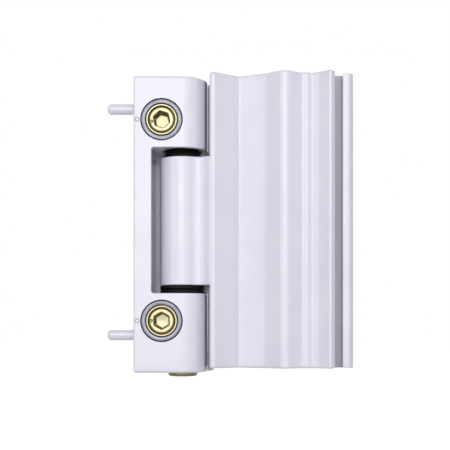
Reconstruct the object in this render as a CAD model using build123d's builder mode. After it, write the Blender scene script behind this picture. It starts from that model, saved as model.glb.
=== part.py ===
"""Rebated door hinge: a frame body with two arms, and a leaf that swings on the pin between them.

The origin is on the face of the frame body that seats on the door frame, level with the
middle of the knuckle and behind the pin. X runs towards the leaf, Y into the door frame
and Z up, so the side that faces the room looks along -Y. All sizes are in millimetres.
"""

import os
from math import cos, radians, sin

from build123d import *

# Frame body
PIN_Y = -14.5  # the pin stands this far in front of the seat
BODY_R = 10.35  # the barrel, on the pin's axis
BODY_LEFT = -19.2
BODY_TOP = 57.75
BODY_BOTTOM = -61.2
WAIST_LENGTH = 1.3  # straight stretch of the barrel's right side, behind the pin
FOOT_X = 12.5
FOOT_DEPTH = 9.0
BODY_EDGE_R = 1.0
BODY_CORNER_R = 0.8

# Pocket that the knuckle turns in
POCKET_LEFT = -12.0
POCKET_HALF = 29.2
POCKET_WALL = 4.1
POCKET_CORNER_R = 1.0
POCKET_EDGE_R = 0.4  # rounding of the pocket's front edge
FIXING_HOLE_R = 2.75
FIXING_SINK_R = 5.2
FIXING_HALF_SPACING = 14.0

# Pegs on the left side
PEG_R = 2.2
PEG_LENGTH = 11.4
PEG_TIP_R = 1.7  # rounding of the free end
PEG_GRIP = 4.5
PEG_SPIGOT_R = 1.8  # the part that is held in the frame body
PEG_Y = -17.0
PEG_HEIGHT = 46.05

# Eccentric adjusters and the sleeves that they turn in
ADJUSTER_X = -7.9
ADJUSTER_HEIGHT = 40.35
SLEEVE_R = 8.5
SLEEVE_BORE_R = 6.4
SLEEVE_LENGTH = 4.15
SLEEVE_POCKET_DEPTH = 4.2
ADJUSTER_HEAD_R = 6.3
ADJUSTER_LIP = 0.5
ADJUSTER_FACE_R = 5.2
ADJUSTER_GROOVE_DEPTH = 0.7
ADJUSTER_SHANK_R = 3.2
ADJUSTER_SOCKET_AF = 6.0
ADJUSTER_SOCKET_DEPTH = 3.4
INDEX_R = 0.7
INDEX_RADIUS = 4.35
INDEX_DEPTH = 0.5
JOURNAL_R = 2.2
JOURNAL_OFFSET = 0.9
JOURNAL_LENGTH = 6.0
UPPER_ADJUSTER_TURN = 12.0  # degrees, as seen from the room

# Pin and height adjustment
PIN_R = 4.0
PIN_BORE_R = 4.05
PIN_TOP = 45.2
PIN_BOTTOM = -50.2
BALL_R = 2.0
BALL_HEIGHT = -49.6
LIFT = 1.5
SCREW_HEAD_R = 6.05
SCREW_HEAD_BORE_R = 6.25
SCREW_HEAD_BOTTOM = -62.9
SCREW_HEAD_HEIGHT = 3.0
SCREW_SOCKET_AF = 5.0
SCREW_SOCKET_DEPTH = 5.0
PLUG_R = 5.2
PLUG_CAP = 2.0
PLUG_STEM = 6.0

# Knuckle and its bushes
KNUCKLE_R = 9.4
KNUCKLE_HALF = 25.9
KNUCKLE_BORE_R = 6.0
KNUCKLE_EDGE_R = 0.6
BUSH_LENGTH = 18.0
FLANGE_R = 9.3
FLANGE = 1.6
COLLAR_R = 7.9
COLLAR_TIP_R = 6.7
COLLAR_RIM = 0.7
COLLAR_REACH = 0.6  # how far the collar stands inside the upper arm
COLLAR_BORE_R = 8.1
COLLAR_BORE_DEPTH = 2.5

# Wing of the leaf, as seen from above: places are across from the pin, and forward of it
LEAF_HALF = 59.4
WING_LEFT = 11.3
WING_RIGHT = 61.4
WING_WALL = 2.4
WING_END_R = 0.9  # rounding of the front edge at both ends
BLOCK_WIDTH = 3.0
SEAT_DEPTH = 0.6  # the sash's face, behind the pin
# Corners of the wave before they are rounded, each with its radius
BEAD_CORNER = (11.3, -9.95, 1.0)
BEAD = (13.0, -10.75, 1.6)
WAVE = (
    BEAD_CORNER,
    BEAD,
    (23.3, -3.9, 1.2),
    (33.2, -8.5, 25.0),
    (41.5, -13.9, 4.0),
    (48.4, -9.75, 1.0),
    (50.55, -10.3, 1.0),
    (52.4, -9.4, 1.0),
    (54.8, -10.7, 15.0),
    (59.5, -14.0, 1.0),
    (61.4, -12.2, 1.0),
)

# Dip between the knuckle and the bead
DIP_START = 25.0  # degrees round the knuckle from its front
DIP = (6.96, -7.13, 4.9)
DIP_END = (11.0, -9.81, 3.0)

# Mounting plate under the wing
PLATE_HALF = 59.3
PLATE_THICKNESS = 2.3
PLATE_LEFT = 14.3
UPSTAND_WIDTH = 2.0
UPSTAND_FRONT = -5.8
LEDGE_LEFT = 61.7
LEDGE_FRONT = -4.6
STRIP_LEFT = 64.8
STRIP_CREST = (66.4, -8.65)
STRIP_SIDE = -8.3  # the strip's front at its left side
STRIP_SHOULDER = (67.6, -8.55)
STRIP_RIGHT = 69.2
STRIP_BEVEL = 1.35  # how far the right corner slopes back
STRIP_EDGE_R = 0.4
STRIP_CORNER_R = 0.9
PLATE_END_R = 0.35  # rounding of the strip at both ends
SASH_HOLE_R = 2.25
SASH_SINK_R = 4.1
SASH_HOLE_X = (32.0, 52.0)
SASH_HOLE_HEIGHT = 40.0

# Clamp screws that hold the wing on its plate
CLAMP_R = 1.5
CLAMP_Y = -3.65
CLAMP_HEIGHT = 44.0
CLAMP_LEFT = 11.6
CLAMP_LENGTH = 4.0
CLAMP_SOCKET_AF = 1.5
CLAMP_SOCKET_DEPTH = 1.6

SLIP = 0.02  # clearance round a piece that is pressed or screwed in

FRONT_Y = PIN_Y - BODY_R
POCKET_FLOOR_Y = -POCKET_WALL
PLATE_FRONT = SEAT_DEPTH - PLATE_THICKNESS
BUSH_R = KNUCKLE_BORE_R - SLIP
SCREW_TOP = BALL_HEIGHT - BALL_R - 0.05
SCREW_HEAD_TOP = SCREW_HEAD_BOTTOM + SCREW_HEAD_HEIGHT
SCREW_HEAD_BORE_DEPTH = SCREW_HEAD_TOP + LIFT + 0.4 - BODY_BOTTOM


def room_plane(across, height, depth=FRONT_Y):
    """A plane that faces the room: its x runs towards the leaf and its y runs up."""
    return Plane(origin=(across, depth, height), x_dir=(1, 0, 0), z_dir=(0, -1, 0))


def pin_plane(height):
    """A level plane with its origin on the pin's axis."""
    return Plane(origin=(0, PIN_Y, height))


def finish(part, name):
    """Label a finished piece and write it under its own name."""
    part.label = name
    export_step(part, f"parts/{name}.step")


os.makedirs("parts", exist_ok=True)


# Frame body: one casting, a flat block that rounds into the barrel on its right side
with BuildPart() as frame_body:
    with BuildSketch(Plane.XY.offset(BODY_BOTTOM)):
        with BuildLine():
            seat = Line((FOOT_X, 0), (BODY_LEFT, 0))
            left_side = Line(seat @ 1, (BODY_LEFT, FRONT_Y))
            front = Line(left_side @ 1, (0, FRONT_Y))
            barrel = CenterArc((0, PIN_Y), BODY_R, -90, 90)
            waist = Line(barrel @ 1, (BODY_R, PIN_Y + WAIST_LENGTH))
            flare = Line(waist @ 1, (FOOT_X, -FOOT_DEPTH))
            foot = Line(flare @ 1, seat @ 0)
        make_face()
    extrude(amount=BODY_TOP - BODY_BOTTOM)
    for end_face in (frame_body.faces().sort_by(Axis.Z)[0], frame_body.faces().sort_by(Axis.Z)[-1]):
        rim = end_face.edges().filter_by(lambda edge: edge.center().Y < -1 and edge.center().X > BODY_LEFT + 0.01)
        fillet(rim, radius=BODY_EDGE_R)
    upright_edges = frame_body.edges().filter_by(Axis.Z)
    fillet(upright_edges.group_by(Axis.Y)[0].sort_by(Axis.X)[0], radius=BODY_CORNER_R)

    with BuildSketch(room_plane(0, 0, POCKET_FLOOR_Y)):
        with Locations((POCKET_LEFT, 0)):
            Rectangle(2 * BODY_TOP, 2 * POCKET_HALF, align=(Align.MIN, Align.CENTER))
        fillet(vertices().group_by(Axis.X)[0], radius=POCKET_CORNER_R)
    extrude(amount=BODY_R * 3, mode=Mode.SUBTRACT)
    pocket_mouth = frame_body.edges().filter_by(
        lambda edge: edge.center().Y < FRONT_Y + 0.01 and abs(edge.center().Z) < POCKET_HALF + 0.01
        and edge.center().X > POCKET_LEFT - 0.01
    )
    fillet(pocket_mouth, radius=POCKET_EDGE_R)

    with Locations(pin_plane(BODY_TOP)):
        CounterBoreHole(radius=PIN_BORE_R, counter_bore_radius=PLUG_R + SLIP, counter_bore_depth=PLUG_CAP)
    with Locations(Plane(origin=(0, PIN_Y, BODY_BOTTOM), z_dir=(0, 0, -1))):
        Hole(radius=SCREW_HEAD_BORE_R, depth=SCREW_HEAD_BORE_DEPTH)
    with Locations(Plane(origin=(0, PIN_Y, POCKET_HALF), z_dir=(0, 0, -1))):
        Hole(radius=COLLAR_BORE_R, depth=COLLAR_BORE_DEPTH)

    for adjuster_height in (ADJUSTER_HEIGHT, -ADJUSTER_HEIGHT):
        with Locations(room_plane(ADJUSTER_X, adjuster_height)):
            CounterBoreHole(
                radius=ADJUSTER_SHANK_R + 0.05,
                counter_bore_radius=SLEEVE_R + SLIP,
                counter_bore_depth=SLEEVE_POCKET_DEPTH,
            )
    for peg_height in (PEG_HEIGHT, -PEG_HEIGHT):
        with Locations(Plane(origin=(BODY_LEFT, PEG_Y, peg_height), z_dir=(-1, 0, 0))):
            Hole(radius=PEG_SPIGOT_R + SLIP, depth=PEG_GRIP)
    for fixing_height in (FIXING_HALF_SPACING, -FIXING_HALF_SPACING):
        with Locations(room_plane(0, fixing_height, POCKET_FLOOR_Y)):
            CounterSinkHole(radius=FIXING_HOLE_R, counter_sink_radius=FIXING_SINK_R)
finish(frame_body.part, "frame_body")


# Pegs: round pins with domed tips, on thinner spigots held in blind holes in the left side
for peg_name, peg_height in (("upper_peg", PEG_HEIGHT), ("lower_peg", -PEG_HEIGHT)):
    with BuildPart() as peg:
        with BuildSketch(Plane(origin=(BODY_LEFT, PEG_Y, peg_height), z_dir=(-1, 0, 0))):
            Circle(PEG_R)
        extrude(amount=PEG_LENGTH)
        fillet(peg.faces().sort_by(Axis.X)[0].edges(), radius=PEG_TIP_R)
        with BuildSketch(Plane(origin=(BODY_LEFT, PEG_Y, peg_height), z_dir=(1, 0, 0))):
            Circle(PEG_SPIGOT_R)
        extrude(amount=PEG_GRIP - SLIP)
    finish(peg.part, peg_name)


# Sleeves: turned rings that line the two pockets in the front of the frame body
for sleeve_name, sleeve_height in (("upper_sleeve", ADJUSTER_HEIGHT), ("lower_sleeve", -ADJUSTER_HEIGHT)):
    with BuildPart() as sleeve:
        with BuildSketch(room_plane(ADJUSTER_X, sleeve_height, FRONT_Y + SLEEVE_LENGTH)):
            Circle(SLEEVE_R)
            Circle(SLEEVE_BORE_R, mode=Mode.SUBTRACT)
        extrude(amount=SLEEVE_LENGTH)
        front_rims = sleeve.faces().sort_by(Axis.Y)[0].edges().sort_by(SortBy.LENGTH)
        chamfer(front_rims[-1], length=0.45)
        chamfer(front_rims[0], length=0.25)
    finish(sleeve.part, sleeve_name)


# Adjusters: a head with a hexagon socket, a lip and an index mark, a long shank through
# the frame body, and a journal set off its axis that stands in the door frame
def turned_plane(height, turn, depth):
    """The plane of one adjuster at a depth, turned with it as seen from the room."""
    x_dir = (cos(radians(turn)), 0, sin(radians(turn)))
    return Plane(origin=(ADJUSTER_X, depth, height), x_dir=x_dir, z_dir=(0, -1, 0))


for adjuster_name, adjuster_height, turn in (
    ("upper_adjuster", ADJUSTER_HEIGHT, UPPER_ADJUSTER_TURN),
    ("lower_adjuster", -ADJUSTER_HEIGHT, 0.0),
):
    head_back = FRONT_Y + SLEEVE_LENGTH
    with BuildPart() as adjuster:
        with BuildSketch(turned_plane(adjuster_height, turn, head_back)):
            Circle(ADJUSTER_HEAD_R)
        extrude(amount=SLEEVE_LENGTH - 0.1)
        chamfer(adjuster.faces().sort_by(Axis.Y)[0].edges(), length=0.25)
        with BuildSketch(turned_plane(adjuster_height, turn, FRONT_Y)):
            Circle(ADJUSTER_HEAD_R - ADJUSTER_LIP)
            Circle(ADJUSTER_FACE_R, mode=Mode.SUBTRACT)
        extrude(amount=-ADJUSTER_GROOVE_DEPTH, mode=Mode.SUBTRACT)
        with BuildSketch(turned_plane(adjuster_height, turn, FRONT_Y - 1)):
            with Locations((-INDEX_RADIUS, 0)):
                Circle(INDEX_R)
        extrude(amount=-INDEX_DEPTH - 1, mode=Mode.SUBTRACT)
        with BuildSketch(turned_plane(adjuster_height, turn, FRONT_Y)):
            RegularPolygon(ADJUSTER_SOCKET_AF / 2, 6, major_radius=False, rotation=30)
        extrude(amount=-ADJUSTER_SOCKET_DEPTH, mode=Mode.SUBTRACT)
        with BuildSketch(turned_plane(adjuster_height, turn, head_back)):
            Circle(ADJUSTER_SHANK_R)
        extrude(amount=head_back)
        with BuildSketch(turned_plane(adjuster_height, turn, 0)):
            with Locations((0, JOURNAL_OFFSET)):
                Circle(JOURNAL_R)
        extrude(amount=-JOURNAL_LENGTH)
        chamfer(adjuster.faces().sort_by(Axis.Y)[-1].edges(), length=0.4)
    finish(adjuster.part, adjuster_name)


# Plug: closes the top of the pin's bore
with BuildPart() as bore_plug:
    with BuildSketch(pin_plane(BODY_TOP)):
        Circle(PLUG_R)
    extrude(amount=-PLUG_CAP)
    fillet(bore_plug.faces().sort_by(Axis.Z)[-1].edges(), radius=0.4)
    with BuildSketch(pin_plane(BODY_TOP - PLUG_CAP)):
        Circle(PIN_R)
    extrude(amount=-PLUG_STEM)
    chamfer(bore_plug.faces().sort_by(Axis.Z)[0].edges(), length=0.5)
finish(bore_plug.part, "bore_plug")


# Pin: a ground bar with chamfered ends and a round seat for the ball in its lower end
with BuildPart() as hinge_pin:
    with BuildSketch(pin_plane(PIN_BOTTOM)):
        Circle(PIN_R)
    extrude(amount=PIN_TOP - PIN_BOTTOM)
    chamfer(hinge_pin.edges().sort_by(Axis.Z)[0], length=0.5)
    chamfer(hinge_pin.edges().sort_by(Axis.Z)[-1], length=0.8)
    with Locations(pin_plane(BALL_HEIGHT)):
        Sphere(BALL_R + SLIP, mode=Mode.SUBTRACT)
finish(hinge_pin.part, "hinge_pin")

with BuildPart() as thrust_ball:
    with Locations(pin_plane(BALL_HEIGHT)):
        Sphere(BALL_R)
finish(thrust_ball.part, "thrust_ball")


# Support washer: sits on the lower arm and rises with the pin
with BuildPart() as support_washer:
    with BuildSketch(pin_plane(0.05 - POCKET_HALF)):
        Circle(FLANGE_R)
        Circle(PIN_R + SLIP, mode=Mode.SUBTRACT)
    extrude(amount=FLANGE)
    chamfer(support_washer.edges().filter_by(GeomType.CIRCLE).group_by(SortBy.LENGTH)[-1], length=0.45)
finish(support_washer.part, "support_washer")


# Height screw: its head shows below the lower arm, and its shank carries the ball
with BuildPart() as height_screw:
    with BuildSketch(pin_plane(SCREW_HEAD_BOTTOM)):
        Circle(SCREW_HEAD_R)
    extrude(amount=SCREW_HEAD_HEIGHT)
    fillet(height_screw.faces().sort_by(Axis.Z)[0].edges(), radius=0.8)
    with BuildSketch(pin_plane(SCREW_HEAD_TOP)):
        Circle(PIN_R)
    extrude(amount=SCREW_TOP - SCREW_HEAD_TOP)
    chamfer(height_screw.faces().sort_by(Axis.Z)[-1].edges(), length=0.5)
    with BuildSketch(pin_plane(SCREW_HEAD_BOTTOM)):
        RegularPolygon(SCREW_SOCKET_AF / 2, 6, major_radius=False)
    extrude(amount=SCREW_SOCKET_DEPTH, mode=Mode.SUBTRACT)
finish(height_screw.part, "height_screw")


# Wing: a waved front over an open back, a solid left edge, and the knuckle beside it
def rounded_run(start, corners, end):
    """A run of straight lines with each corner rounded to its own radius."""
    places = [(across, forward) for across, forward, _ in corners]
    return FilletPolyline(start, *places, end, radius=[radius for *_, radius in corners])


def wing_outline(set_back=0.0):
    """The wing's front from its left edge to its right flank, moved back and closed at the seat."""
    with BuildSketch() as outline:
        with BuildLine():
            front = rounded_run((WING_LEFT, SEAT_DEPTH), WAVE, (WING_RIGHT, SEAT_DEPTH))
            Line(front @ 1, front @ 0)
        make_face()
    return outline.sketch.moved(Location((0, set_back)))


# The knuckle and the dip beside it reach a little way into the wing, along the bead's slope
with BuildPart() as knuckle:
    with BuildSketch(pin_plane(-KNUCKLE_HALF)):
        with BuildLine():
            dip_start = (KNUCKLE_R * sin(radians(DIP_START)), -KNUCKLE_R * cos(radians(DIP_START)))
            dip_stop = Vector(*BEAD_CORNER[:2]) + (Vector(*BEAD[:2]) - Vector(*BEAD_CORNER[:2])) * 0.47
            dip = rounded_run(dip_start, (DIP, DIP_END), dip_stop)
            Polyline(dip @ 1, (dip_stop.X, SEAT_DEPTH), (0, SEAT_DEPTH), dip @ 0)
        make_face()
        Circle(KNUCKLE_R)
    extrude(amount=2 * KNUCKLE_HALF)
    rims = knuckle.edges().filter_by(lambda edge: abs(abs(edge.center().Z) - KNUCKLE_HALF) < 0.01)
    rims = rims.filter_by(lambda edge: edge.center().X < dip_stop.X - 0.01)
    fillet(rims.filter_by(lambda edge: abs(edge.center().Y - PIN_Y - SEAT_DEPTH) > 0.01), radius=KNUCKLE_EDGE_R)

with BuildPart() as wing:
    with BuildSketch(pin_plane(-LEAF_HALF)):
        add(wing_outline())
    extrude(amount=2 * LEAF_HALF)
    for end_face in (wing.faces().sort_by(Axis.Z)[0], wing.faces().sort_by(Axis.Z)[-1]):
        fillet(end_face.edges().filter_by(lambda edge: edge.center().Y < PIN_Y + SEAT_DEPTH - 0.01), radius=WING_END_R)
    hollow_left = WING_LEFT + BLOCK_WIDTH
    with BuildSketch(pin_plane(-LEAF_HALF)):
        add(wing_outline(WING_WALL))
        with Locations((hollow_left, PLATE_FRONT)):
            Rectangle(
                WING_RIGHT - WING_WALL - hollow_left,
                2 * KNUCKLE_R,
                align=(Align.MIN, Align.MAX),
                mode=Mode.INTERSECT,
            )
        with Locations((hollow_left, PLATE_FRONT)):
            Rectangle(WING_RIGHT, PLATE_THICKNESS + 1, align=(Align.MIN, Align.MIN))
    extrude(amount=2 * LEAF_HALF, mode=Mode.SUBTRACT)
    add(knuckle.part)
    with Locations(pin_plane(KNUCKLE_HALF)):
        Hole(radius=KNUCKLE_BORE_R, depth=2 * KNUCKLE_HALF)
    for clamp_height in (CLAMP_HEIGHT, -CLAMP_HEIGHT):
        with Locations(Plane(origin=(WING_LEFT, PIN_Y + CLAMP_Y, clamp_height), z_dir=(-1, 0, 0))):
            Hole(radius=CLAMP_R + SLIP, depth=BLOCK_WIDTH + 0.1)
finish(wing.part, "wing")


# Bushes: plastic, one from each end of the knuckle, and a collar or a flange outside it
with BuildPart() as upper_bush:
    with BuildSketch(Plane(origin=(0, PIN_Y, KNUCKLE_HALF), x_dir=(1, 0, 0), z_dir=(0, -1, 0))):
        with BuildLine():
            Polyline(
                (PIN_BORE_R, -BUSH_LENGTH),
                (BUSH_R, -BUSH_LENGTH),
                (BUSH_R, 0),
                (COLLAR_R, 0),
                (COLLAR_R, COLLAR_RIM),
                (COLLAR_TIP_R, POCKET_HALF - KNUCKLE_HALF),
                (COLLAR_TIP_R, POCKET_HALF - KNUCKLE_HALF + COLLAR_REACH),
                (PIN_BORE_R, POCKET_HALF - KNUCKLE_HALF + COLLAR_REACH),
                close=True,
            )
        make_face()
    revolve(axis=Axis((0, PIN_Y, 0), (0, 0, 1)))
finish(upper_bush.part, "upper_bush")

with BuildPart() as lower_bush:
    with BuildSketch(pin_plane(-KNUCKLE_HALF)):
        Circle(FLANGE_R)
    extrude(amount=-FLANGE)
    chamfer(lower_bush.edges(), length=0.45)
    with BuildSketch(pin_plane(-KNUCKLE_HALF)):
        Circle(BUSH_R)
    extrude(amount=BUSH_LENGTH)
    with Locations(pin_plane(BUSH_LENGTH - KNUCKLE_HALF)):
        Hole(radius=PIN_BORE_R, depth=BUSH_LENGTH + FLANGE)
finish(lower_bush.part, "lower_bush")


# Mounting plate: screwed to the sash under the wing, with an upstand for the clamp
# screws at its left edge, and a ledge and a raised strip that show at its right edge
with BuildPart() as mounting_plate:
    with BuildSketch(pin_plane(-PLATE_HALF)):
        with BuildLine():
            profile = Polyline(
                (PLATE_LEFT, SEAT_DEPTH),
                (PLATE_LEFT, UPSTAND_FRONT),
                (PLATE_LEFT + UPSTAND_WIDTH, UPSTAND_FRONT),
                (PLATE_LEFT + UPSTAND_WIDTH, PLATE_FRONT),
                (LEDGE_LEFT, PLATE_FRONT),
                (LEDGE_LEFT, LEDGE_FRONT),
                (STRIP_LEFT, LEDGE_FRONT),
                (STRIP_LEFT, STRIP_SIDE),
            )
            crown = ThreePointArc(profile @ 1, STRIP_CREST, STRIP_SHOULDER)
            Polyline(
                crown @ 1,
                (STRIP_RIGHT, STRIP_SHOULDER[1] + STRIP_BEVEL),
                (STRIP_RIGHT, SEAT_DEPTH),
                (PLATE_LEFT, SEAT_DEPTH),
            )
        make_face()
        fillet(vertices().group_by(Axis.X)[-1].sort_by(Axis.Y)[0], radius=STRIP_CORNER_R)
        fillet(vertices().filter_by(lambda corner: abs(corner.X - STRIP_LEFT) < 0.01).sort_by(Axis.Y)[0], radius=STRIP_EDGE_R)
    extrude(amount=2 * PLATE_HALF)
    strip_rims = mounting_plate.edges().filter_by(lambda edge: edge.center().X > STRIP_LEFT - 0.01)
    strip_rims = strip_rims.filter_by(lambda edge: edge.center().Y < PIN_Y + SEAT_DEPTH - 0.01)
    fillet(strip_rims.filter_by(lambda edge: abs(abs(edge.center().Z) - PLATE_HALF) < 0.01), radius=PLATE_END_R)
    for hole_x in SASH_HOLE_X:
        for hole_height in (SASH_HOLE_HEIGHT, -SASH_HOLE_HEIGHT):
            with Locations(room_plane(hole_x, hole_height, PIN_Y + PLATE_FRONT)):
                CounterSinkHole(radius=SASH_HOLE_R, counter_sink_radius=SASH_SINK_R)
    for clamp_height in (CLAMP_HEIGHT, -CLAMP_HEIGHT):
        with Locations(Plane(origin=(PLATE_LEFT, PIN_Y + CLAMP_Y, clamp_height), z_dir=(-1, 0, 0))):
            Hole(radius=CLAMP_R + SLIP, depth=CLAMP_LEFT + CLAMP_LENGTH - PLATE_LEFT + SLIP)
finish(mounting_plate.part, "mounting_plate")


# Clamp screws: headless, through the wing's left edge and into the plate's upstand
for clamp_name, clamp_height in (("upper_clamp_screw", CLAMP_HEIGHT), ("lower_clamp_screw", -CLAMP_HEIGHT)):
    with BuildPart() as clamp_screw:
        with BuildSketch(Plane(origin=(CLAMP_LEFT, PIN_Y + CLAMP_Y, clamp_height), z_dir=(1, 0, 0))):
            Circle(CLAMP_R)
        extrude(amount=CLAMP_LENGTH)
        chamfer(clamp_screw.edges().filter_by(GeomType.CIRCLE), length=0.3)
        with BuildSketch(Plane(origin=(CLAMP_LEFT, PIN_Y + CLAMP_Y, clamp_height), z_dir=(1, 0, 0))):
            RegularPolygon(CLAMP_SOCKET_AF / 2, 6, major_radius=False)
        extrude(amount=CLAMP_SOCKET_DEPTH, mode=Mode.SUBTRACT)
    finish(clamp_screw.part, clamp_name)
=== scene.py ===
"""Finishes a rebated door hinge: white powder coat, plated steel, black bushes, and a pale stage."""

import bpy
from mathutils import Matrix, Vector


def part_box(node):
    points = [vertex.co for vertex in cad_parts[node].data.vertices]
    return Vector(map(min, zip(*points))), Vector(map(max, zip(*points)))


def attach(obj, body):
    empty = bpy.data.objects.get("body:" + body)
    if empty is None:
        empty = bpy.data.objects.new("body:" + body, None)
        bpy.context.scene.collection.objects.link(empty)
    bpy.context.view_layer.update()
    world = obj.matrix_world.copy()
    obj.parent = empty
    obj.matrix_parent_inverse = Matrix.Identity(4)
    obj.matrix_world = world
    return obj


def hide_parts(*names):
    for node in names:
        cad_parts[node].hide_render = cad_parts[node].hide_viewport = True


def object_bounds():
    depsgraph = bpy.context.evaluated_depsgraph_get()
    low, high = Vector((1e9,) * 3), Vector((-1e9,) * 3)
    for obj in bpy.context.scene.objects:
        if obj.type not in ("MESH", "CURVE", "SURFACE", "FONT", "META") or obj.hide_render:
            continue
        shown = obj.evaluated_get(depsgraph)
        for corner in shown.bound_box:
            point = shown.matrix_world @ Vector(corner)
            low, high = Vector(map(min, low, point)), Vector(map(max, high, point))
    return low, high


bl_info = {
    "name": "Rebated door hinge",
    "version": (1, 0, 0),
    "blender": (4, 5, 0),
    "location": "3D Viewport > Sidebar > Hinge",
    "description": "Finishes, turned pieces and stage of a rebated door hinge",
    "category": "Object",
}

import math

import bmesh
import bpy
import numpy as np
from bpy.props import FloatProperty, FloatVectorProperty, IntProperty, PointerProperty
from mathutils import Vector

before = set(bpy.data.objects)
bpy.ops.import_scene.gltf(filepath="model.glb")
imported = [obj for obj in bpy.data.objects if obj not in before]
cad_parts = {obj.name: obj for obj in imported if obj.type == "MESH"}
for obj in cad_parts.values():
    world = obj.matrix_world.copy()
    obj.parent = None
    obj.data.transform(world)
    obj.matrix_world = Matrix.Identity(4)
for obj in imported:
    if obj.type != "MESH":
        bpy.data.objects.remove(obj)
CAD_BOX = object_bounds()

MM = 0.001
IMAGE_SIZE = 450  # width and height of the photograph's frame, in pixels
COAT = "white powder coat"
PAINTED_SHADE = "painted_shade"  # attribute of the turned pieces: the share of painted shade and painted dark reflection

# Sizes of the turned steel, in millimetres from its axis or from the front of the frame body
HEAD_RADIUS = 6.3
SHANK_RADIUS = 3.2
JOURNAL_RADIUS = 2.2
JOURNAL_LENGTH = 6.0
JOURNAL_OFFSET = 0.9  # the throw of the adjuster
JOURNAL_CHAMFER = 0.4
SLEEVE_BORE = 6.4
SLEEVE_OUTSIDE = 8.5
FACE_DEPTH = 0.35  # what lies less deep than this is the adjuster's face, where the index mark is punched
MARK_DEPTH = 0.6
UPPER_TURN = 12.0  # degrees that the upper adjuster is turned in the photograph

HALF_SIDE = math.radians(30)  # half the angle of a hexagon's side
SHARP_ANGLE = math.radians(35)
MERGE_DISTANCE = 1e-7

# Recesses where shade is painted into the coat colour, as a low and a high corner in millimetres
POCKET_WALL = ((-14, -21, -29), (-11.6, -5, 29))
WALL_BESIDE_WING = ((8.8, -19, -60), (13, 0, 60))
SLOT_BESIDE_STRIP = ((61.0, -21.2, -70), (64.9, -12, 70))

COAT_IOR = 1.6
CLOUD_SPACING = 14 * MM
GRAIN_SPACING = 0.3 * MM
MARK_SHARE = 0.45  # the part of the tint that follows the turning marks and not the drift

# Softboxes: the bearings of their left and right sides, then the heights of their lower and upper sides, in
# degrees round the aim from straight in front
SOFTBOXES = {
    "main": (-21, 11, 6, 34),
    "low": (-21, 11, -8, 6),
    "left": (-58, -21, -8, 34),
    "right": (11, 35, -8, 34),
    "far_right": (35, 75, -8, 34),
    "back": (145, 215, -5, 50),
}
LAMP_AIM = np.array([0.02, -0.02, 0.0])
LAMP_DISTANCE = 0.7
SHIFT_PIXELS = (-15, 100)  # how far the photograph's framing moves the picture, across and up
WHITE = (1.0, 1.0, 1.0, 1.0)
FLOOR_REACH = 3.0
FLOOR_GLOW = 0.85


def linear(hex_colour):
    """The linear colour of an sRGB hex value."""
    values = np.array([int(hex_colour[i : i + 2], 16) for i in (0, 2, 4)]) / 255
    return tuple(np.where(values <= 0.04045, values / 12.92, ((values + 0.055) / 1.055) ** 2.4))


def colour_property(name, hex_colour, description):
    return FloatVectorProperty(
        name=name, description=description, subtype="COLOR", size=3, min=0, max=1, default=linear(hex_colour)
    )


def length_property(name, millimetres, description):
    return FloatProperty(
        name=name,
        description=description,
        subtype="DISTANCE",
        unit="LENGTH",
        default=millimetres * MM,
    )


def brightness_property(name, default, description):
    return FloatProperty(name=name, description=description, default=default)


def share_property(name, default, description):
    return FloatProperty(
        name=name, description=description, subtype="FACTOR", min=0, max=1, default=default
    )


class CoatSettings(bpy.types.PropertyGroup):
    """White powder coat on the cast and extruded pieces, with the colours of painted shade for its recesses
    and index rings.
    """

    colour: colour_property("Coat colour", "D7D5E2", "Colour of the powder coat")
    shade: colour_property("Coat shade", "D3D1DF", "Colour in the faint clouds of the coat")
    # The recess colour is painted shade for the deep recesses, not a colour of the coat.
    thin: colour_property("Recess colour", "918F9B", "Darker coat that stands in for deep shade")
    # The ring colour is painted shade that stands for the shade at the punched edge of the index rings.
    ring: colour_property("Ring colour", "9C9AA8", "Darker coat that lets the index rings show")
    roughness: share_property("Coat roughness", 0.14, "Roughness of the cured coat")
    peel_spacing: length_property("Peel spacing", 1.1, "Distance between the bumps of the orange peel")
    peel_height: length_property("Peel height", 0.006, "Height of the orange peel")


class PlateSettings(bpy.types.PropertyGroup):
    """Zinc on the turned steel pieces, with painted shade and painted dark reflection in their grooves and on
    their chamfers.
    """

    yellow: colour_property("Yellow zinc", "AEAC80", "Yellow passivated zinc")
    pink: colour_property("Pink tint", "B09E8A", "Pink interference tint of the yellow film")
    # The olive colour is painted shade and painted dark reflection: in the socket, in the groove, on the side
    # of the head and on the index mark's slope.
    olive_painted_shade: colour_property("Olive stain", "4A462B", "Yellow zinc in grooves, where the film is thick")
    grey: colour_property("Grey zinc", "6C6E7A", "Blue-grey zinc of the sleeves and clamp screws")
    lavender: colour_property("Lavender zinc", "888892", "Grey zinc where the film is thinner")
    # The slate colour is painted shade and painted dark reflection on the chamfers, in the bore and on the
    # outside of the sleeves.
    slate_painted_shade: colour_property("Slate stain", "363945", "Grey zinc in corners and on chamfers")
    bronze: colour_property("Bronze zinc", "5C5430", "Yellow zinc on the height screw")
    brown: colour_property("Brown zinc", "6E6050", "Yellow zinc on the height screw, where the film is thin")
    ground: colour_property("Ground steel", "B8B9BD", "Bare ground steel of the pin and ball")
    mark_spacing: length_property("Mark spacing", 0.45, "Distance between the turning marks")
    film_spacing: length_property("Film spacing", 2.6, "Distance over which the tint of the film drifts")


class BushSettings(bpy.types.PropertyGroup):
    """Moulded plastic."""

    black: colour_property("Black plastic", "08080A", "Colour of the bushes and the washer")
    white: colour_property("White plastic", "E9E9F0", "Colour of the plug")


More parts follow.
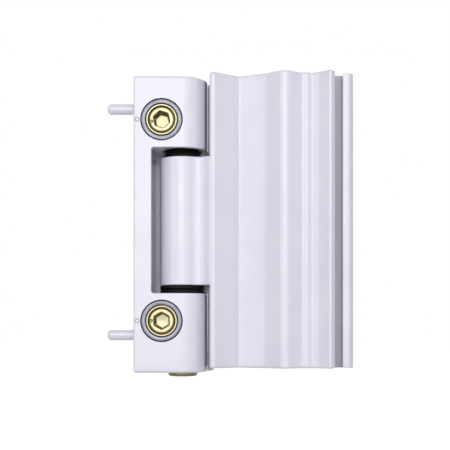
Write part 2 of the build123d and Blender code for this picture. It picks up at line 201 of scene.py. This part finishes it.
class AdjusterSettings(bpy.types.PropertyGroup):
    """Turned shapes of the eccentric adjusters and the sleeves round them."""

    face_radius: length_property("Face radius", 4.75, "Radius of the inner face round the socket")
    groove_depth: length_property("Groove depth", 0.9, "Depth of the groove round the inner face")
    lip_width: length_property("Lip width", 0.85, "Width of the lip outside the groove")
    socket_flats: length_property("Socket flats", 6.0, "Size of the hexagon socket across its flats")
    socket_depth: length_property("Socket depth", 4.6, "Depth of the hexagon socket")
    index_radius: length_property("Index radius", 0.8, "Radius of the punched index mark")
    index_place: length_property("Index place", 4.2, "Distance of the index mark from the axis")
    ring_place: length_property("Ring place", 9.75, "Distance of the index ring from the axis")
    ring_radius: length_property("Ring radius", 0.8, "Radius of the index ring on the frame body")
    ring_bead: length_property("Ring bead", 0.16, "Radius of the bead that draws the index ring")
    segments: IntProperty(
        name="Segments", description="Points round an adjuster or sleeve", default=288, min=24
    )


class StageSettings(bpy.types.PropertyGroup):
    """Camera, lamps and floor."""

    lens: FloatProperty(name="Lens", description="Focal length in millimetres", default=72.0)
    distance: length_property("Camera distance", 360.0, "Distance from the front of the frame body")
    camera_x: length_property("Camera across", 23.5, "Place of the camera across, from the pin")
    camera_z: length_property("Camera height", -42.0, "Place of the camera below the middle of the knuckle")
    world: brightness_property("World", 0.2, "Strength of the even light all round")
    main: brightness_property("Main softbox", 3.5, "Brightness of the softbox above the camera")
    low: brightness_property("Low softbox", 2.75, "Brightness of the softbox level with the camera")
    left: brightness_property("Left softbox", 1.5, "Brightness of the softbox on the left")
    right: brightness_property("Right softbox", 1.6, "Brightness of the softbox on the right")
    far_right: brightness_property("Far right softbox", 0.6, "Brightness of the softbox on the far right")
    back: brightness_property("Back softbox", 1.7, "Brightness of the softbox behind the hinge")
    floor_drop: length_property("Floor drop", 60.0, "Distance of the floor below the hinge")


class HingeSettings(bpy.types.PropertyGroup):
    """All the settings of the hinge."""

    coat: PointerProperty(type=CoatSettings)
    plate: PointerProperty(type=PlateSettings)
    bush: PointerProperty(type=BushSettings)
    adjuster: PointerProperty(type=AdjusterSettings)
    stage: PointerProperty(type=StageSettings)


def settings():
    """The sizes and colours of the scene, from the panel."""
    return bpy.context.scene.hinge


def add_node(tree, kind, values=None, links=None):
    """Add one node: values go to its inputs or its own settings, and links come from output sockets."""
    made = tree.nodes.new(kind)
    for key, value in (values or {}).items():
        if isinstance(key, int) or key in made.inputs:
            made.inputs[key].default_value = value
        else:
            setattr(made, key, value)
    for key, socket in (links or {}).items():
        tree.links.new(socket, made.inputs[key])
    return made


def new_material(name):
    """A material with an empty tree, its shader and its output."""
    material = bpy.data.materials.new(name)
    material.use_nodes = True
    tree = material.node_tree
    tree.nodes.clear()
    shader = add_node(tree, "ShaderNodeBsdfPrincipled")
    add_node(tree, "ShaderNodeOutputMaterial", links={"Surface": shader.outputs["BSDF"]})
    return material, tree, shader


def rgba(colour):
    return (*colour, 1.0)


def object_place(tree, centre=(0, 0, 0), scale=(1, 1, 1)):
    """Object coordinates counted from a centre, as an output socket."""
    place = add_node(tree, "ShaderNodeTexCoord").outputs["Object"]
    centred = add_node(tree, "ShaderNodeVectorMath", {"operation": "SUBTRACT", 1: centre}, {0: place})
    return add_node(
        tree, "ShaderNodeVectorMath", {"operation": "MULTIPLY", 1: scale}, {0: centred.outputs[0]}
    ).outputs[0]


def blend_colours(tree, share, first, second):
    """Two colours mixed by a share from a socket, through a smooth ramp."""
    ramp = add_node(tree, "ShaderNodeValToRGB", links={"Fac": share})
    ramp.color_ramp.elements[0].position = 0.35
    ramp.color_ramp.elements[0].color = first
    ramp.color_ramp.elements[1].position = 0.65
    ramp.color_ramp.elements[1].color = second
    return ramp.outputs["Color"]


def inside_box(tree, low, high, edge=0.8):
    """A socket that is 1 inside a box and falls to 0 over the edge width outside it, all in millimetres.

    It takes the largest of the three distances by which a point lies past the box's sides.
    """
    low, high = np.array(low), np.array(high)
    half = (high - low) / 2
    place = object_place(tree, tuple((low + high) / 2 * MM), (1 / MM,) * 3)
    outside = add_node(tree, "ShaderNodeVectorMath", {"operation": "ABSOLUTE"}, {0: place})
    over = add_node(
        tree, "ShaderNodeVectorMath", {"operation": "SUBTRACT", 1: tuple(half)}, {0: outside.outputs[0]}
    )
    parts = add_node(tree, "ShaderNodeSeparateXYZ", links={0: over.outputs[0]}).outputs
    widest = parts[0]
    for part in parts[1:]:
        widest = add_node(
            tree, "ShaderNodeMath", {"operation": "MAXIMUM"}, {0: widest, 1: part}
        ).outputs[0]
    return add_node(
        tree,
        "ShaderNodeMapRange",
        {"From Min": 0.0, "From Max": edge, "To Min": 1.0, "To Max": 0.0},
        {0: widest},
    ).outputs[0]


def powder_coat(name, coat, colours=None, recesses=()):
    """Polyester powder coat, sprayed and baked.

    It is glossy white, and its fine orange peel breaks up highlights. Inside the recesses, given as
    boxes, its colour is darker: this stands in for deep shade and isn't a colour of the real coat.
    """
    material, tree, shader = new_material(name)
    place = object_place(tree)
    clouds = add_node(
        tree, "ShaderNodeTexNoise", {"Scale": 1 / CLOUD_SPACING, "Detail": 2.0}, {"Vector": place}
    )
    peel = add_node(
        tree, "ShaderNodeTexNoise", {"Scale": 1 / coat.peel_spacing, "Detail": 1.5}, {"Vector": place}
    )
    bump = add_node(
        tree,
        "ShaderNodeBump",
        {"Strength": 0.35, "Distance": coat.peel_height},
        {"Height": peel.outputs["Fac"]},
    )
    first, second = colours or (coat.colour, coat.shade)
    base = blend_colours(tree, clouds.outputs["Fac"], rgba(first), rgba(second))
    # inside each recess box the colour turns to the recess colour, which is painted shade
    for low, high in recesses:
        base = add_node(
            tree,
            "ShaderNodeMix",
            {"data_type": "RGBA", 7: rgba(coat.thin)},
            {0: inside_box(tree, low, high), 6: base},
        ).outputs[2]
    tree.links.new(base, shader.inputs["Base Color"])
    tree.links.new(bump.outputs["Normal"], shader.inputs["Normal"])
    shader.inputs["Roughness"].default_value = coat.roughness
    shader.inputs["IOR"].default_value = COAT_IOR
    return material


def turned_zinc(name, centre, colours, plate, along="Y", roughness=0.4):
    """Steel turned on a lathe and plated with zinc, or bare where the colours say so.

    Rings of tool marks round the axis spread its highlights, and its film drifts between two tints.
    The third colour is painted shade and painted dark reflection, laid where the piece's own attribute says
    so, in grooves and corners.
    """
    film, drifted, painted_shade = (rgba(colour) for colour in colours)
    material, tree, shader = new_material(name)
    across = (1, 0, 1) if along == "Y" else (1, 1, 0)
    place = object_place(tree, centre, across)
    radius = add_node(tree, "ShaderNodeVectorMath", {"operation": "LENGTH"}, {0: place})
    marks = add_node(
        tree,
        "ShaderNodeTexNoise",
        {"noise_dimensions": "1D", "Scale": 1 / plate.mark_spacing, "Detail": 3.0},
        {"W": radius.outputs["Value"]},
    )
    drift = add_node(
        tree,
        "ShaderNodeTexNoise",
        {"Scale": 1 / plate.film_spacing, "Detail": 2.0},
        {"Vector": object_place(tree)},
    )
    drifting = add_node(
        tree, "ShaderNodeMath", {"operation": "MULTIPLY", 1: 1 - MARK_SHARE}, {0: drift.outputs["Fac"]}
    )
    both = add_node(
        tree,
        "ShaderNodeMath",
        {"operation": "MULTIPLY_ADD", 1: MARK_SHARE},
        {0: marks.outputs["Fac"], 2: drifting.outputs[0]},
    )
    tint = blend_colours(tree, both.outputs[0], film, drifted)
    painted_shade_share = add_node(tree, "ShaderNodeAttribute", {"attribute_name": PAINTED_SHADE})
    base = add_node(
        tree, "ShaderNodeMix", {"data_type": "RGBA", 7: painted_shade}, {0: painted_shade_share.outputs["Fac"], 6: tint}
    )
    bump = add_node(
        tree, "ShaderNodeBump", {"Strength": 0.3, "Distance": 0.02 * MM}, {"Height": marks.outputs["Fac"]}
    )
    tree.links.new(base.outputs[2], shader.inputs["Base Color"])
    tree.links.new(bump.outputs["Normal"], shader.inputs["Normal"])
    shader.inputs["Metallic"].default_value = 1.0
    shader.inputs["Roughness"].default_value = roughness
    return material


def moulded_plastic(name, colour, gloss, roughness=0.45):
    """Injection moulded plastic: an even colour under a spark-eroded grain, which gives it a satin sheen."""
    material, tree, shader = new_material(name)
    grain = add_node(
        tree,
        "ShaderNodeTexNoise",
        {"Scale": 1 / GRAIN_SPACING, "Detail": 2.0},
        {"Vector": object_place(tree)},
    )
    bump = add_node(
        tree, "ShaderNodeBump", {"Strength": 0.3, "Distance": 0.01 * MM}, {"Height": grain.outputs["Fac"]}
    )
    lighter = tuple(min(1.0, value * 1.25 + 0.002) for value in colour)
    base = blend_colours(tree, grain.outputs["Fac"], rgba(colour), rgba(lighter))
    tree.links.new(base, shader.inputs["Base Color"])
    tree.links.new(bump.outputs["Normal"], shader.inputs["Normal"])
    shader.inputs["Roughness"].default_value = roughness
    shader.inputs["Specular IOR Level"].default_value = gloss
    return material


def dress(node, material):
    """Give a CAD node a finish."""
    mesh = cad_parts[node].data
    mesh.materials.clear()
    mesh.materials.append(material)


def middle(node):
    """The middle of a CAD node's box."""
    low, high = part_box(node)
    return np.array((low + high) / 2)


def ring_faces(rings, segments):
    """Quads between rings of points, closed round each ring."""
    start = np.arange(rings - 1)[:, None] * segments
    here = np.arange(segments)
    beside = np.roll(here, -1)
    corners = (start + here, start + beside, start + beside + segments, start + here + segments)
    return np.stack(corners, axis=-1).reshape(-1, 4)


def make_piece(name, points, faces, material, painted_shade=None):
    """A mesh piece from rings of points.

    Its poles are merged, its normals point outwards and its share of painted shade is kept in an attribute.
    """
    mesh = bpy.data.meshes.new(name)
    mesh.from_pydata(points.reshape(-1, 3), [], faces.tolist())
    if painted_shade is not None:
        shares = mesh.attributes.new(PAINTED_SHADE, "FLOAT", "POINT")
        spread = np.broadcast_to(painted_shade, points.shape[:2]).astype(np.float32)
        shares.data.foreach_set("value", spread.ravel())
    work = bmesh.new()
    work.from_mesh(mesh)
    bmesh.ops.remove_doubles(work, verts=work.verts, dist=MERGE_DISTANCE)
    bmesh.ops.recalc_face_normals(work, faces=work.faces)
    work.to_mesh(mesh)
    work.free()
    mesh.materials.append(material)
    piece = bpy.data.objects.new(name, mesh)
    bpy.context.scene.collection.objects.link(piece)
    mesh.polygons.foreach_set("use_smooth", np.ones(len(mesh.polygons), bool))
    mesh.set_sharp_from_angle(angle=SHARP_ANGLE)
    return piece


def filled(corners, spacing=0.12):
    """Profile corners, with points added until none stand further apart than the spacing in millimetres."""
    rows = [corners[:1]]
    for first, second in zip(corners[:-1], corners[1:]):
        count = max(1, int(np.ceil(np.hypot(*(second - first)[:2]) / spacing)))
        rows.append(first + (second - first) * (np.arange(1, count + 1) / count)[:, None])
    return np.concatenate(rows)


def turned(rows, segments):
    """Rings of a piece turned round a level axis, as places across, up and deep, before it is turned.

    Each row holds a radius, a depth, a share of the hexagon and an upward offset. A ring's radius at
    an angle is the row's radius, drawn towards a hexagon's outline by the share. That outline is the
    cosine of 30 degrees over the cosine of the angle from the middle of the nearest flat.
    """
    angles = np.linspace(0, 2 * np.pi, segments, endpoint=False)
    from_flat = (angles + HALF_SIDE) % (2 * HALF_SIDE) - HALF_SIDE
    hexagon = math.cos(HALF_SIDE) / np.cos(from_flat)
    radius = rows[:, :1] * (1 - rows[:, 2:3] + rows[:, 2:3] * hexagon)
    across = radius * np.cos(angles)
    up = radius * np.sin(angles) + rows[:, 3:4]
    depth = np.broadcast_to(rows[:, 1:2], across.shape)
    return across, up, depth


def placed(across, up, depth, centre, front, turn):
    """Points of a turned piece, turned by an angle and set on their axis, in metres."""
    c, s = math.cos(turn), math.sin(turn)
    return np.stack(
        [
            centre[0] + (across * c - up * s) * MM,
            front + depth * MM,
            centre[2] + (across * s + up * c) * MM,
        ],
        axis=-1,
    )


def adjuster_rows(sizes, body_depth, head_depth):
    """Profile of an adjuster from the socket's floor out to the lip and back to the journal.

    Each row holds a radius, a depth, a share of the hexagon, an upward offset and a share of painted shade.
    """
    socket = sizes.socket_flats / MM / 2 / math.cos(HALF_SIDE)
    face = sizes.face_radius / MM
    groove = sizes.groove_depth / MM
    head = HEAD_RADIUS
    lip = head - sizes.lip_width / MM
    floor = sizes.socket_depth / MM
    corners = np.array(
        [
            (0.0, floor + 0.25, 0.0, 0.0, 0.0),
            (socket * 0.45, floor + 0.1, 0.6, 0.0, 0.0),
            (socket * 0.74, floor, 1.0, 0.0, 0.0),
            (socket * 0.84, floor, 1.0, 0.0, 1.0),
            (socket, floor, 1.0, 0.0, 1.0),
            (socket, 0.9, 1.0, 0.0, 0.75),
            (socket, 0.4, 1.0, 0.0, 1.0),
            (socket + 0.18, 0.18, 1.0, 0.0, 1.0),
            (socket + 0.26, 0.12, 0.8, 0.0, 0.3),
            (socket + 0.42, 0.09, 0.0, 0.0, 0.0),
            (face - 0.5, 0.09, 0.0, 0.0, 0.0),
            (face - 0.2, 0.14, 0.0, 0.0, 0.05),
            (face - 0.02, 0.3, 0.0, 0.0, 0.7),
            (face + 0.06, groove, 0.0, 0.0, 1.0),
            (lip - 0.3, groove, 0.0, 0.0, 1.0),
            (lip - 0.08, groove * 0.6, 0.0, 0.0, 0.9),
            (lip + 0.06, 0.24, 0.0, 0.0, 0.3),
            (lip + 0.2, 0.12, 0.0, 0.0, 0.0),
            (head - 0.34, 0.1, 0.0, 0.0, 0.0),
            (head - 0.16, 0.2, 0.0, 0.0, 0.5),
            (head - 0.02, 0.5, 0.0, 0.0, 1.0),
            (head, 0.9, 0.0, 0.0, 1.0),
            (head, head_depth, 0.0, 0.0, 1.0),
        ]
    )
    back = body_depth + JOURNAL_LENGTH
    stem = np.array(
        [
            (SHANK_RADIUS, head_depth, 0.0, 0.0, 0.0),
            (SHANK_RADIUS, body_depth, 0.0, 0.0, 0.0),
            (JOURNAL_RADIUS, body_depth, 0.0, JOURNAL_OFFSET, 0.0),
            (JOURNAL_RADIUS, back - JOURNAL_CHAMFER, 0.0, JOURNAL_OFFSET, 0.0),
            (JOURNAL_RADIUS - JOURNAL_CHAMFER, back, 0.0, JOURNAL_OFFSET, 0.0),
            (0.0, back, 0.0, JOURNAL_OFFSET, 0.0),
        ]
    )
    return np.concatenate([filled(corners[:-1]), corners[-1:], stem])


def sleeve_rows(length):
    """Closed profile of a sleeve in the rows of adjuster_rows: its bore, its crowned face and its outside."""
    bore, outside = SLEEVE_BORE, SLEEVE_OUTSIDE
    # the last column is the share of painted shade: full on the bore, the outside and the chamfers
    face = np.array(
        [
            (bore, 1.0, 0.0, 0.0, 1.0),
            (bore + 0.02, 0.5, 0.0, 0.0, 1.0),
            (bore + 0.12, 0.26, 0.0, 0.0, 0.8),
            (bore + 0.3, 0.16, 0.0, 0.0, 0.1),
            (bore + 0.75, 0.06, 0.0, 0.0, 0.0),
            (outside - 1.0, 0.04, 0.0, 0.0, 0.0),
            (outside - 0.62, 0.12, 0.0, 0.0, 0.05),
            (outside - 0.42, 0.22, 0.0, 0.0, 0.8),
            (outside - 0.2, 0.42, 0.0, 0.0, 1.0),
            (outside - 0.02, 0.8, 0.0, 0.0, 1.0),
            (outside, 1.2, 0.0, 0.0, 1.0),
        ]
    )
    back = np.array(
        [(outside, length, 0.0, 0.0, 1.0), (bore, length, 0.0, 0.0, 1.0), (bore, 1.0, 0.0, 0.0, 1.0)]
    )
    return np.concatenate([filled(face), back])


class HINGE_OT_coat_pieces(bpy.types.Operator):
    """Coat the frame body, the pegs, the wing and the mounting plate"""

    bl_idname = "hinge.coat_pieces"
    bl_label = "Coat the white pieces"

    def execute(self, context):
        coat = settings().coat
        white = powder_coat(COAT, coat)
        for node in ("upper_peg", "lower_peg", "wing"):
            dress(node, white)
        # the walls beside the pocket and the wing, and the slot beside the strip, get painted shade
        walls = (POCKET_WALL, WALL_BESIDE_WING)
        dress("frame_body", powder_coat(f"{COAT}, frame body", coat, recesses=walls))
        slot = (SLOT_BESIDE_STRIP,)
        dress("mounting_plate", powder_coat(f"{COAT}, mounting plate", coat, recesses=slot))
        return {"FINISHED"}


class HINGE_OT_plate_sleeves(bpy.types.Operator):
    """Turn the two sleeves, and plate them and the clamp screws with grey zinc"""

    bl_idname = "hinge.plate_sleeves"
    bl_label = "Plate the sleeves"

    def execute(self, context):
        plate = settings().plate
        # the third colour, slate, is painted shade and painted dark reflection
        colours = (plate.grey, plate.lavender, plate.slate_painted_shade)
        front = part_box("frame_body")[0].y
        for end in ("upper", "lower"):
            centre = middle(f"{end}_sleeve")
            rows = sleeve_rows((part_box(f"{end}_sleeve")[1].y - front) / MM)
            points = placed(*turned(rows, settings().adjuster.segments), centre, front, 0.0)
            zinc = turned_zinc(f"grey zinc, {end} sleeve", tuple(centre), colours, plate, roughness=0.45)
            faces = ring_faces(*points.shape[:2])
            piece = make_piece(f"{end}_sleeve_turned", points, faces, zinc, rows[:, 4:])
            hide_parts(f"{end}_sleeve")
            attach(piece, "frame")
            screw = f"{end}_clamp_screw"
            name = f"grey zinc, {end} clamp screw"
            dress(screw, turned_zinc(name, tuple(middle(screw)), colours, plate, "X"))
        return {"FINISHED"}


class HINGE_OT_turn_adjusters(bpy.types.Operator):
    """Turn the two eccentric adjusters, with socket, groove, lip and index mark"""

    bl_idname = "hinge.turn_adjusters"
    bl_label = "Turn the adjusters"

    def execute(self, context):
        sizes = settings().adjuster
        plate = settings().plate
        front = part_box("frame_body")[0].y
        body_depth = (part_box("frame_body")[1].y - front) / MM
        head_depth = (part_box("upper_sleeve")[1].y - front) / MM
        rows = adjuster_rows(sizes, body_depth, head_depth)
        across, up, depth = turned(rows, sizes.segments)
        # the index mark lowers the face by half a cosine wave of the distance from its middle
        from_mark = np.hypot(across + sizes.index_place / MM, up) / (sizes.index_radius / MM)
        dimple = np.where(from_mark < 1, MARK_DEPTH / 2 * (1 + np.cos(np.pi * from_mark)), 0)
        depth = np.where(depth < FACE_DEPTH, depth + dimple, depth)
        # shade is painted on the mark's slope, and not at its bottom
        slope = np.clip(1 - np.abs(from_mark - 0.8) / 0.35, 0, 1)
        painted_shade = np.maximum(rows[:, 4:], 0.9 * slope * (depth < 1))
        for end, turn in (("upper", UPPER_TURN), ("lower", 0.0)):
            centre = middle(f"{end}_sleeve")
            points = placed(across, up, depth, centre, front, math.radians(turn))
            # the third colour, olive, is painted shade and painted dark reflection
            colours = (plate.yellow, plate.pink, plate.olive_painted_shade)
            zinc = turned_zinc(f"yellow zinc, {end} adjuster", tuple(centre), colours, plate)
            faces = ring_faces(*points.shape[:2])
            piece = make_piece(f"{end}_adjuster_turned", points, faces, zinc, painted_shade)
            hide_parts(f"{end}_adjuster")
            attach(piece, f"{end}_eccentric")
        return {"FINISHED"}


class HINGE_OT_punch_rings(bpy.types.Operator):
    """Punch the two small index rings into the frame body, beside the sleeves"""

    bl_idname = "hinge.punch_rings"
    bl_label = "Punch the index rings"

    def execute(self, context):
        sizes = settings().adjuster
        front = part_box("frame_body")[0].y
        coat = settings().coat
        # both ring colours are painted shade, so that the rings show as the shade of a punched edge would
        darker = powder_coat(f"{COAT}, index rings", coat, (coat.ring, coat.thin))
        around = np.linspace(0, 2 * np.pi, 48, endpoint=False)
        # A round bead bent into a circle: its height and its radius together follow a small circle.
        # It is drawn coarser than the punched edge, which would be too fine to show.
        section = np.linspace(0, 2 * np.pi, 13)
        bead = sizes.ring_bead / MM
        radius = sizes.ring_radius / MM + bead * np.cos(section)[:, None]
        for end in ("upper", "lower"):
            centre = middle(f"{end}_sleeve") - np.array([sizes.ring_place, 0, 0])
            depth = np.broadcast_to(bead * np.sin(section)[:, None], (len(section), len(around)))
            points = placed(radius * np.cos(around), radius * np.sin(around), depth, centre, front, 0.0)
            piece = make_piece(f"{end}_index_ring", points, ring_faces(*points.shape[:2]), darker)
            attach(piece, "frame")
        return {"FINISHED"}


class HINGE_OT_finish_pin(bpy.types.Operator):
    """Finish the pin, the ball and the height screw"""

    bl_idname = "hinge.finish_pin"
    bl_label = "Finish the pin"

    def execute(self, context):
        plate = settings().plate
        axis = tuple(middle("hinge_pin"))
        ground = turned_zinc("ground steel", axis, (plate.ground, plate.grey, plate.slate_painted_shade), plate, "Z", 0.25)
        for node in ("hinge_pin", "thrust_ball"):
            dress(node, ground)
        colours = (plate.bronze, plate.brown, plate.olive_painted_shade)
        dress("height_screw", turned_zinc("yellow zinc, height screw", axis, colours, plate, "Z", 0.2))
        return {"FINISHED"}


class HINGE_OT_mould_bushes(bpy.types.Operator):
    """Finish the bushes, the support washer and the plug"""

    bl_idname = "hinge.mould_bushes"
    bl_label = "Mould the bushes"

    def execute(self, context):
        bush = settings().bush
        black = moulded_plastic("black acetal", bush.black, 0.1)
        for node in ("upper_bush", "lower_bush", "support_washer"):
            dress(node, black)
        dress("bore_plug", moulded_plastic("white acetal", bush.white, 0.5))
        return {"FINISHED"}


def softbox(name, left, right, low, high, brightness):
    """A softbox that fills a range of bearings and heights round the hinge, in degrees.

    Its brightness is the light that it shows, where 1 is white: the power over pi and over its area.
    """
    bearing, height = math.radians((left + right) / 2), math.radians((low + high) / 2)
    out = np.array(
        [math.sin(bearing) * math.cos(height), -math.cos(bearing) * math.cos(height), math.sin(height)]
    )
    data = bpy.data.lights.new(name, "AREA")
    data.shape = "RECTANGLE"
    data.size = 2 * LAMP_DISTANCE * math.tan(math.radians((right - left) / 2)) * math.cos(height)
    data.size_y = 2 * LAMP_DISTANCE * math.tan(math.radians((high - low) / 2))
    data.energy = brightness * math.pi * data.size * data.size_y
    lamp = bpy.data.objects.new(name, data)
    bpy.context.scene.collection.objects.link(lamp)
    lamp.location = LAMP_AIM + LAMP_DISTANCE * out
    lamp.rotation_mode = "QUATERNION"
    lamp.rotation_quaternion = Vector(-out).to_track_quat("-Z", "Y")
    lamp.visible_camera = False


def rays_that_see_white(tree):
    """A socket that is 1 for camera, glossy and transmission rays, which show the white room."""
    path = add_node(tree, "ShaderNodeLightPath")
    shown = path.outputs["Is Camera Ray"]
    for kind in ("Is Glossy Ray", "Is Transmission Ray"):
        shown = add_node(
            tree, "ShaderNodeMath", {"operation": "MAXIMUM"}, {0: shown, 1: path.outputs[kind]}
        ).outputs[0]
    return shown


class HINGE_OT_set_stage(bpy.types.Operator):
    """Set the camera, the lamps, the world and the floor"""

    bl_idname = "hinge.set_stage"
    bl_label = "Set the stage"

    def execute(self, context):
        stage = settings().stage
        scene = context.scene
        scene.view_settings.view_transform = "Standard"
        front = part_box("frame_body")[0].y

        data = bpy.data.cameras.new("camera")
        data.lens = stage.lens
        data.shift_x = SHIFT_PIXELS[0] / IMAGE_SIZE
        data.shift_y = SHIFT_PIXELS[1] / IMAGE_SIZE
        camera = bpy.data.objects.new("camera", data)
        scene.collection.objects.link(camera)
        camera.location = (stage.camera_x, front - stage.distance, stage.camera_z)
        camera.rotation_euler = (math.radians(90), 0, 0)
        scene.camera = camera

        world = bpy.data.worlds.new("white room")
        scene.world = world
        world.use_nodes = True
        tree = world.node_tree
        tree.nodes.clear()
        seen = rays_that_see_white(tree)
        light = add_node(tree, "ShaderNodeBackground", {"Color": WHITE, "Strength": stage.world})
        shown = add_node(tree, "ShaderNodeBackground", {"Color": WHITE, "Strength": 1.0})
        mixed = add_node(
            tree,
            "ShaderNodeMixShader",
            links={0: seen, 1: light.outputs[0], 2: shown.outputs[0]},
        )
        add_node(tree, "ShaderNodeOutputWorld", links={"Surface": mixed.outputs[0]})

        for name, sides in SOFTBOXES.items():
            softbox(f"{name.replace('_', ' ')} softbox", *sides, getattr(stage, name))

        floor_z = CAD_BOX[0].z - stage.floor_drop
        around = ((-1, -1), (1, -1), (1, 1), (-1, 1))
        corners = [(across * FLOOR_REACH, out * FLOOR_REACH, floor_z) for across, out in around]
        mesh = bpy.data.meshes.new("floor")
        mesh.from_pydata(corners, [], [(0, 1, 2, 3)])
        floor = bpy.data.objects.new("floor", mesh)
        scene.collection.objects.link(floor)
        material, floor_tree, shader = new_material("white paper")
        shader.inputs["Base Color"].default_value = rgba(linear("C8C8C8"))
        shader.inputs["Roughness"].default_value = 0.9
        # the paper adds white of its own only where it is seen, so that it stays white and keeps the shadow
        own = add_node(
            floor_tree,
            "ShaderNodeMath",
            {"operation": "MULTIPLY", 1: FLOOR_GLOW},
            {0: rays_that_see_white(floor_tree)},
        )
        glow = add_node(
            floor_tree, "ShaderNodeEmission", {"Color": WHITE}, {"Strength": own.outputs[0]}
        )
        paper = add_node(
            floor_tree, "ShaderNodeAddShader", links={0: shader.outputs["BSDF"], 1: glow.outputs[0]}
        )
        output = next(node for node in floor_tree.nodes if node.type == "OUTPUT_MATERIAL")
        floor_tree.links.new(paper.outputs[0], output.inputs["Surface"])
        mesh.materials.append(material)
        return {"FINISHED"}


OPERATORS = (
    HINGE_OT_coat_pieces,
    HINGE_OT_plate_sleeves,
    HINGE_OT_turn_adjusters,
    HINGE_OT_punch_rings,
    HINGE_OT_finish_pin,
    HINGE_OT_mould_bushes,
    HINGE_OT_set_stage,
)
PROPERTY_GROUPS = (CoatSettings, PlateSettings, BushSettings, AdjusterSettings, StageSettings, HingeSettings)


class HINGE_PT_panel(bpy.types.Panel):
    """Lists the steps of the hinge"""

    bl_label = "Rebated door hinge"
    bl_idname = "HINGE_PT_panel"
    bl_space_type = "VIEW_3D"
    bl_region_type = "UI"
    bl_category = "Hinge"

    def draw(self, context):
        for operator in OPERATORS:
            self.layout.operator(operator.bl_idname)


def register():
    for made in (*PROPERTY_GROUPS, *OPERATORS, HINGE_PT_panel):
        bpy.utils.register_class(made)
    bpy.types.Scene.hinge = PointerProperty(type=HingeSettings)


def unregister():
    del bpy.types.Scene.hinge
    for made in reversed((*PROPERTY_GROUPS, *OPERATORS, HINGE_PT_panel)):
        bpy.utils.unregister_class(made)


def main():
    """Make every piece and the stage."""
    register()
    bpy.ops.hinge.coat_pieces()
    bpy.ops.hinge.plate_sleeves()
    bpy.ops.hinge.turn_adjusters()
    bpy.ops.hinge.punch_rings()
    bpy.ops.hinge.finish_pin()
    bpy.ops.hinge.mould_bushes()
    bpy.ops.hinge.set_stage()
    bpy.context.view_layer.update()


if __name__ == "__main__":
    main()
